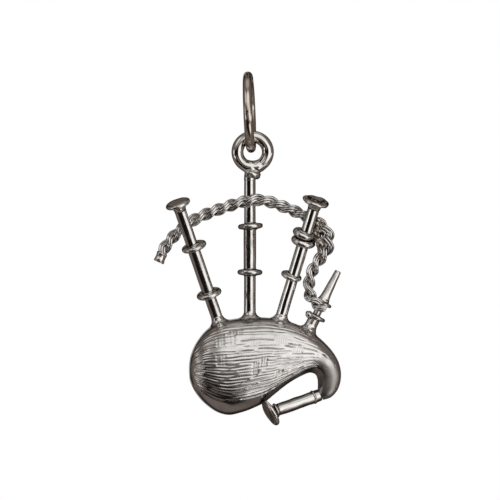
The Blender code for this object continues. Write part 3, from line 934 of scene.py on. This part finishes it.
def shell_mesh(outer, inner, side):
    """Points and faces of a shell: its dome, its inside, and the rim and the ends that join the two."""
    rows, columns = outer.shape[:2]
    inner_columns = inner.shape[1]
    offset = rows * columns
    poles = offset + rows * inner_columns
    pole = np.array((BAG_POLE[0], side * SEAM, BAG_POLE[1]))
    points = np.vstack((outer.reshape(-1, 3), inner.reshape(-1, 3), pole, pole + (BAG_WALL, 0.0, 0.0)))
    faces = grid_faces(rows, columns)
    for face in grid_faces(rows, inner_columns):
        faces.append(tuple(offset + corner for corner in reversed(face)))
    for row in range(rows - 1):
        for outside, inside in ((0, 0), (columns - 1, inner_columns - 1)):
            quad = (
                row * columns + outside,
                (row + 1) * columns + outside,
                offset + (row + 1) * inner_columns + inside,
                offset + row * inner_columns + inside,
            )
            faces.append(quad if outside == 0 else tuple(reversed(quad)))
    faces += [(poles, step + 1, step) for step in range(columns - 1)]
    faces += [(poles + 1, offset + step, offset + step + 1) for step in range(inner_columns - 1)]
    faces.append((poles, 0, offset, poles + 1))
    faces.append((poles + 1, offset + inner_columns - 1, columns - 1, poles))
    last_outer = [(rows - 1) * columns + step for step in range(columns)]
    last_inner = [offset + (rows - 1) * inner_columns + step for step in range(inner_columns)]
    faces.append(tuple(last_outer + last_inner[::-1]))
    if side > 0:
        faces = [tuple(reversed(face)) for face in faces]
    return points, faces


def make_bag_half(name, node, side, slot):
    """One shell of the bag, a dense engraved dome over a plain inside. Side is -1 for the front."""
    sections = bag_sections()
    outer, across, width = bag_surface(sections, ACROSS_STEPS, side, ridged=True)
    normals = surface_normals(outer)
    if np.mean(normals[..., 1]) * side < 0:
        normals = -normals
    cut, worked, dull = engrave(outer, across, width, side)
    outer = outer - normals * (cut * LINE_DEPTH)[..., None]
    outer = raise_fillets(pitted(outer, normals))
    inner, _, _ = bag_surface(sections, INNER_STEPS, side, BAG_WALL)
    points, faces = shell_mesh(outer, inner, side)
    piece = mesh_object(name, points, faces)
    inside = np.zeros(len(points) - cut.size)
    for label, values in (("groove", cut), ("worked", worked), ("dull", dull)):
        attribute = piece.data.attributes.new(label, "FLOAT", "POINT")
        attribute.data.foreach_set("value", np.concatenate((values.ravel(), inside)))
    finish(piece, [node], slot, DOME, depth=0.014, size=1.1)


def make_bag():
    make_bag_half("bag_front_dome", "bag_front_shell", -1, "engraved_silver")
    make_bag_half("bag_back_dome", "bag_back_shell", 1, "polished_silver")


# ---- cord

# The cord's route, the middle of its two strands, as in the CAD
CORD_ROUTE = [
    (-6.52, -1.50, -7.64), (-6.35, -1.50, -7.26), (-5.90, -1.48, -6.65),
    (-5.38, -1.46, -6.11), (-4.83, -1.46, -5.62), (-4.27, -1.38, -5.25),
    (-3.68, -1.30, -4.94), (-2.81, -1.20, -4.57), (-1.88, -1.08, -4.25),
    (-1.03, -0.99, -3.97), (-0.19, -0.96, -3.78), (0.50, -0.97, -3.70),
    (1.10, -0.98, -3.73), (1.60, -1.03, -3.87), (2.26, -1.12, -4.11),
    (3.09, -1.24, -4.42), (3.69, -1.36, -4.69), (4.31, -1.46, -5.00),
    (5.03, -1.50, -5.36), (5.56, -1.50, -5.94), (5.75, -1.48, -6.68),
    (5.67, -1.42, -7.40), (5.25, -1.28, -8.06), (4.81, -1.10, -8.71),
    (4.56, -0.86, -9.32), (4.43, -0.76, -9.90), (4.42, -0.76, -10.50),
    (4.64, -0.92, -11.11), (5.10, -1.14, -11.52), (5.62, -1.10, -11.86),
]
CORD_PITCH = 2.0
CORD_SPACING = 0.04
STRAND_OFFSET = 0.18

# A strand's three wires, which stay parallel to it: backwards, across the cord, and their radius
WIRES = [(-0.04, 0.185, 0.105), (-0.12, 0.010, 0.110), (-0.02, -0.170, 0.120)]


def cord_line():
    """The cord's middle line at an even spacing, and how far along it each point is."""
    nodes = np.array(CORD_ROUTE)
    path = catmull_rom(np.vstack((2 * nodes[0] - nodes[1], nodes, 2 * nodes[-1] - nodes[-2])), 12)
    reach = np.concatenate(((0.0,), np.cumsum(lengths(np.diff(path, axis=0)))))
    wanted = np.linspace(0, reach[-1], round(reach[-1] / CORD_SPACING) + 1)
    return np.column_stack([np.interp(wanted, reach, path[:, axis]) for axis in range(3)]), wanted


def make_cord():
    """Two strands of three parallel wires, twisted to the left. They open out beside the right drone."""
    middle, reach = cord_line()
    first, second = frames(middle)
    opened = 1 + 0.45 * bell(middle[:, 2] + 6.6, 1.0) * smoothstep(4.9, 5.4, middle[:, 0])
    loose = 1 + 0.22 * smoothstep(-7.6, -8.6, middle[:, 2])
    for label, phase in (("a", 0.0), ("b", math.pi)):
        turn = phase - 2 * math.pi * reach / CORD_PITCH
        wires = []
        for back, aside, radius in WIRES:
            backwards = STRAND_OFFSET * loose * np.cos(turn) + back
            sideways = STRAND_OFFSET * loose * np.sin(turn) + aside / loose
            route = middle + first * (backwards * opened)[:, None] + second * (sideways * opened)[:, None]
            wires.append(tube(route, radius))
        piece = mesh_object(f"cord_strand_{label}_wires", *joined(wires))
        finish(piece, [f"cord_strand_{label}"], material=WIRE, depth=0.02, size=0.35)
    make_cord_end()
    make_cord_solder()


def make_cord_end():
    """The end of the cord, fused in the flame into a short barrel and cut square."""
    outward = np.array(CORD_ROUTE[0]) - np.array(CORD_ROUTE[1])
    place = spindle("cord_end_bead", outward)
    length, radius = place.length, place.radius
    outline = [
        (HUB, length - 0.05),
        (radius * 0.3, length - 0.05),
        (radius * 0.62, length - 0.02),
        *arc((radius - 0.09, length - 0.09), 0.09, 100, 0, 8),
        (radius * 0.97, length * 0.62),
        (radius * 0.90, length * 0.42),
        (radius * 0.96, length * 0.2),
        *arc((radius - 0.1, 0.04), 0.1, 20, -80, 6),
        (HUB, -0.05),
    ]
    piece = turned("cord_end_barrel", place, outline, 48)
    finish(piece, ["cord_end_bead"], material=WIRE, depth=0.05, size=0.28)


def make_cord_solder():
    """Solder that has run between the cord and the right drone, with the drop that hangs from it."""
    low, high = to_charm_box("cord_solder_drop")
    drop = (low + high) / 2
    radius = (high[0] - low[0]) / 2
    pipe = spindle("right_drone_pipe")
    lumps = [
        ball(drop, radius),
        ball(drop + (-0.06, 0.03, 0.20), radius * 0.8),
        ball(drop + (-0.08, 0.10, -0.34), radius * 0.52),
        ball(drop + (-0.10, 0.12, -0.52), radius * 0.34),
    ]
    for height, size in ((-6.55, 0.27), (-6.2, 0.24), (-5.85, 0.24), (-5.5, 0.22), (-5.2, 0.2)):
        beside = pipe.base + pipe.axis * ((height - pipe.base[2]) / pipe.axis[2])
        lumps.append(ball(beside + (0.62, 0.42, 0.0), size))
        lumps.append(ball(beside + (0.86, 0.62, -0.12), size * 0.85))
    piece = melted("cord_solder_run", lumps, voxel=0.03, smoothing=3)
    finish(piece, ["cord_solder_drop"], "silver_solder", SOLDER, depth=0.07, size=0.22)


# ---- studio

FLOOR_GAP = 9.0
FLOOR_RADIUS = 60.0
CAMERA_DISTANCE = 420.0
FRAME_CENTRE = (0.011, 0.0, -7.43)
FRAME_WIDTH = 37.45

# The studio, as a polished ball in the charm's place would show it from the front: the ball's middle is
# (0, 0) and its edge is 1 away. Each light or dark screen has its centre, its half width and half height,
# how far it descends to the right in degrees, how soft its edge is, and its brightness.
SCREEN_SQUARENESS = 2.5
ROOM = (0.145, 0.120, 0.107)
SCREENS = [
    ((-0.37, 0.31), (0.13, 0.15), 0, 0.5, (0.72, 0.70, 0.68)),
    ((0.02, 0.68), (0.34, 0.11), 0, 0.4, (0.40, 0.38, 0.36)),
    ((-0.60, 0.00), (0.08, 0.07), 0, 0.35, (0.80, 0.78, 0.76)),
    ((0.10, 0.25), (0.25, 0.26), 0, 0.28, (0.88, 0.87, 0.855)),
    ((0.31, -0.01), (0.18, 0.21), 0, 0.22, (1.05, 1.03, 1.01)),
    ((0.56, -0.09), (0.13, 0.05), -25, 0.3, (1.00, 0.98, 0.96)),
    ((0.28, -0.36), (0.17, 0.12), 10, 0.25, (1.02, 1.00, 0.98)),
    ((-0.37, -0.20), (0.14, 0.24), -10, 0.2, (0.006, 0.006, 0.006)),
    ((-0.05, -0.43), (0.30, 0.13), 24, 0.2, (0.008, 0.007, 0.007)),
    ((-0.16, -0.26), (0.20, 0.09), 20, 0.2, (0.008, 0.007, 0.007)),
    ((-0.15, 0.010), (0.28, 0.036), 0, 0.2, (0.005, 0.005, 0.005)),
    ((0.13, -0.255), (0.18, 0.050), -22, 0.3, (0.012, 0.011, 0.010)),
    ((-0.51, -0.135), (0.09, 0.035), 17, 0.3, (1.25, 1.22, 1.20)),
]

# Near the ball's edge the room turns dark between these two distances from the ball's middle
ROOM_EDGE = ((0.82, 0.93), (0.022, 0.018, 0.016))

# The wall straight behind the charm: it fades in as a direction's backward share goes from the first
# number to the second. Its screens are those that the ball shows a viewer behind it.
BACK_WALL = ((0.82, 0.90), (0.16, 0.145, 0.135))
BACK_SCREENS = [
    ((-0.13, 0.10), (0.13, 0.30), 12, 0.3, (1.0, 0.98, 0.965)),
    ((0.07, -0.04), (0.06, 0.30), 12, 0.3, (0.012, 0.011, 0.011)),
    ((0.22, 0.05), (0.06, 0.30), 0, 0.4, (0.70, 0.68, 0.66)),
]

# What three flat faces show, seen from the front: the two caps and the chanter's sole
FACE_SCREENS = [
    ((-0.31, 0.90), (0.13, 0.07), 0, 0.4, (0.26, 0.225, 0.205)),
    ((0.27, 0.91), (0.13, 0.07), 0, 0.5, (0.24, 0.205, 0.19)),
    ((-0.83, -0.49), (0.10, 0.10), 0, 0.4, (0.20, 0.155, 0.135)),
]


def make_floor():
    """A round pale floor under the hanging charm."""
    low, high = cad_box
    middle = (Vector(low) + Vector(high)) / 2
    shape = bmesh.new()
    bmesh.ops.create_circle(shape, cap_ends=True, segments=96, radius=FLOOR_RADIUS * MM)
    mesh = bpy.data.meshes.new("floor")
    shape.to_mesh(mesh)
    shape.free()
    floor = placed("floor", mesh)
    floor.location = (middle.x, middle.y, low[2] - FLOOR_GAP * MM)
    floor.visible_glossy = False
    pale = bpy.data.materials.new("pale_floor")
    pale.use_nodes = True
    shader = pale.node_tree.nodes["Principled BSDF"]
    shader.inputs["Base Color"].default_value = (0.92, 0.92, 0.92, 1.0)
    shader.inputs["Roughness"].default_value = 0.9
    shader.inputs["Emission Color"].default_value = (1.0, 1.0, 1.0, 1.0)
    shader.inputs["Emission Strength"].default_value = 0.75
    mesh.materials.append(pale)


def make_light():
    """A soft studio: white screens above and to the right, and dark ones below and to the left."""
    world = bpy.data.worlds.new("studio")
    bpy.context.scene.world = world
    world.use_nodes = True
    world.node_tree.nodes.clear()
    nodes = Nodes(world.node_tree)
    direction = nodes.add("TexCoord").outputs["Generated"]

    def polished_ball(viewer):
        """The normal of a polished ball where it shows a direction to a viewer, and its right and up."""
        normal = nodes.vector("NORMALIZE", nodes.vector("ADD", direction, viewer))
        right, up = (nodes.vector("DOT_PRODUCT", normal, tuple(BASIS[:, column])) for column in (0, 2))
        return normal, (right, up)

    def distance(place, centre, size, lean):
        """How far a place on the ball lies from a screen's centre, 1 at its edge."""
        across = nodes.math("SUBTRACT", place[0], centre[0])
        along = nodes.math("SUBTRACT", place[1], centre[1])
        cosine, sine = math.cos(math.radians(lean)), math.sin(math.radians(lean))
        turned_across = nodes.math(
            "SUBTRACT", nodes.math("MULTIPLY", across, cosine), nodes.math("MULTIPLY", along, sine)
        )
        turned_along = nodes.math(
            "ADD", nodes.math("MULTIPLY", across, sine), nodes.math("MULTIPLY", along, cosine)
        )
        powers = []
        for value, half in ((turned_across, size[0]), (turned_along, size[1])):
            share = nodes.math("ABSOLUTE", nodes.math("DIVIDE", value, half))
            powers.append(nodes.math("POWER", share, SCREEN_SQUARENESS))
        return nodes.math("POWER", nodes.math("ADD", *powers), 1 / SCREEN_SQUARENESS)

    def with_screens(colour, place, screens):
        for centre, size, lean, soft, light in screens:
            share = nodes.spread(distance(place, centre, size, lean), 1 - soft, 1 + soft, 1.0, 0.0)
            colour = nodes.mix(share, colour, light)
        return colour

    backward = tuple(BASIS[:, 1])
    forward = tuple(-BASIS[:, 1])
    normal, place = polished_ball(forward)
    (begin, end), edge = ROOM_EDGE
    front = nodes.vector("DOT_PRODUCT", normal, forward)
    rim = nodes.spread(front, math.sqrt(1 - end ** 2), math.sqrt(1 - begin ** 2), 1.0, 0.0)
    colour = nodes.mix(rim, with_screens(ROOM, place, SCREENS), edge)
    (begin, end), wall = BACK_WALL
    behind = nodes.vector("DOT_PRODUCT", direction, backward)
    back = with_screens(wall, polished_ball(backward)[1], BACK_SCREENS)
    colour = nodes.mix(nodes.spread(behind, begin, end, 0.0, 1.0), colour, back)
    colour = with_screens(colour, place, FACE_SCREENS)

    studio = nodes.add("Background", {"Color": colour})
    backdrop = nodes.add("Background", {"Color": (1.0, 1.0, 1.0, 1.0)})
    seen = nodes.add("LightPath").outputs["Is Camera Ray"]
    blend = nodes.add("MixShader")
    for entry, value in zip(blend.inputs, (seen, studio.outputs[0], backdrop.outputs[0])):
        nodes.fill(entry, value)
    nodes.add("OutputWorld", {"Surface": blend.outputs[0]})


def make_camera():
    """Square to the charm's front, with the bass drone upright in the frame."""
    right, back, up = (Vector(BASIS[:, column]) for column in range(3))
    camera = placed("camera", bpy.data.cameras.new("camera"))
    place = Vector(to_world(FRAME_CENTRE)) - back * CAMERA_DISTANCE * MM
    axes = Matrix((right, up, -back)).transposed()
    camera.matrix_world = Matrix.Translation(place) @ axes.to_4x4()
    camera.data.lens = camera.data.sensor_width * CAMERA_DISTANCE / FRAME_WIDTH
    camera.data.clip_start = 10 * MM
    bpy.context.scene.camera = camera
    bpy.context.scene.view_settings.view_transform = "Standard"


make_camera()
make_light()
make_floor()
make_jump_ring()
make_bail()
make_drones()
make_blowpipe()
make_chanter()
make_bag()
make_cord()
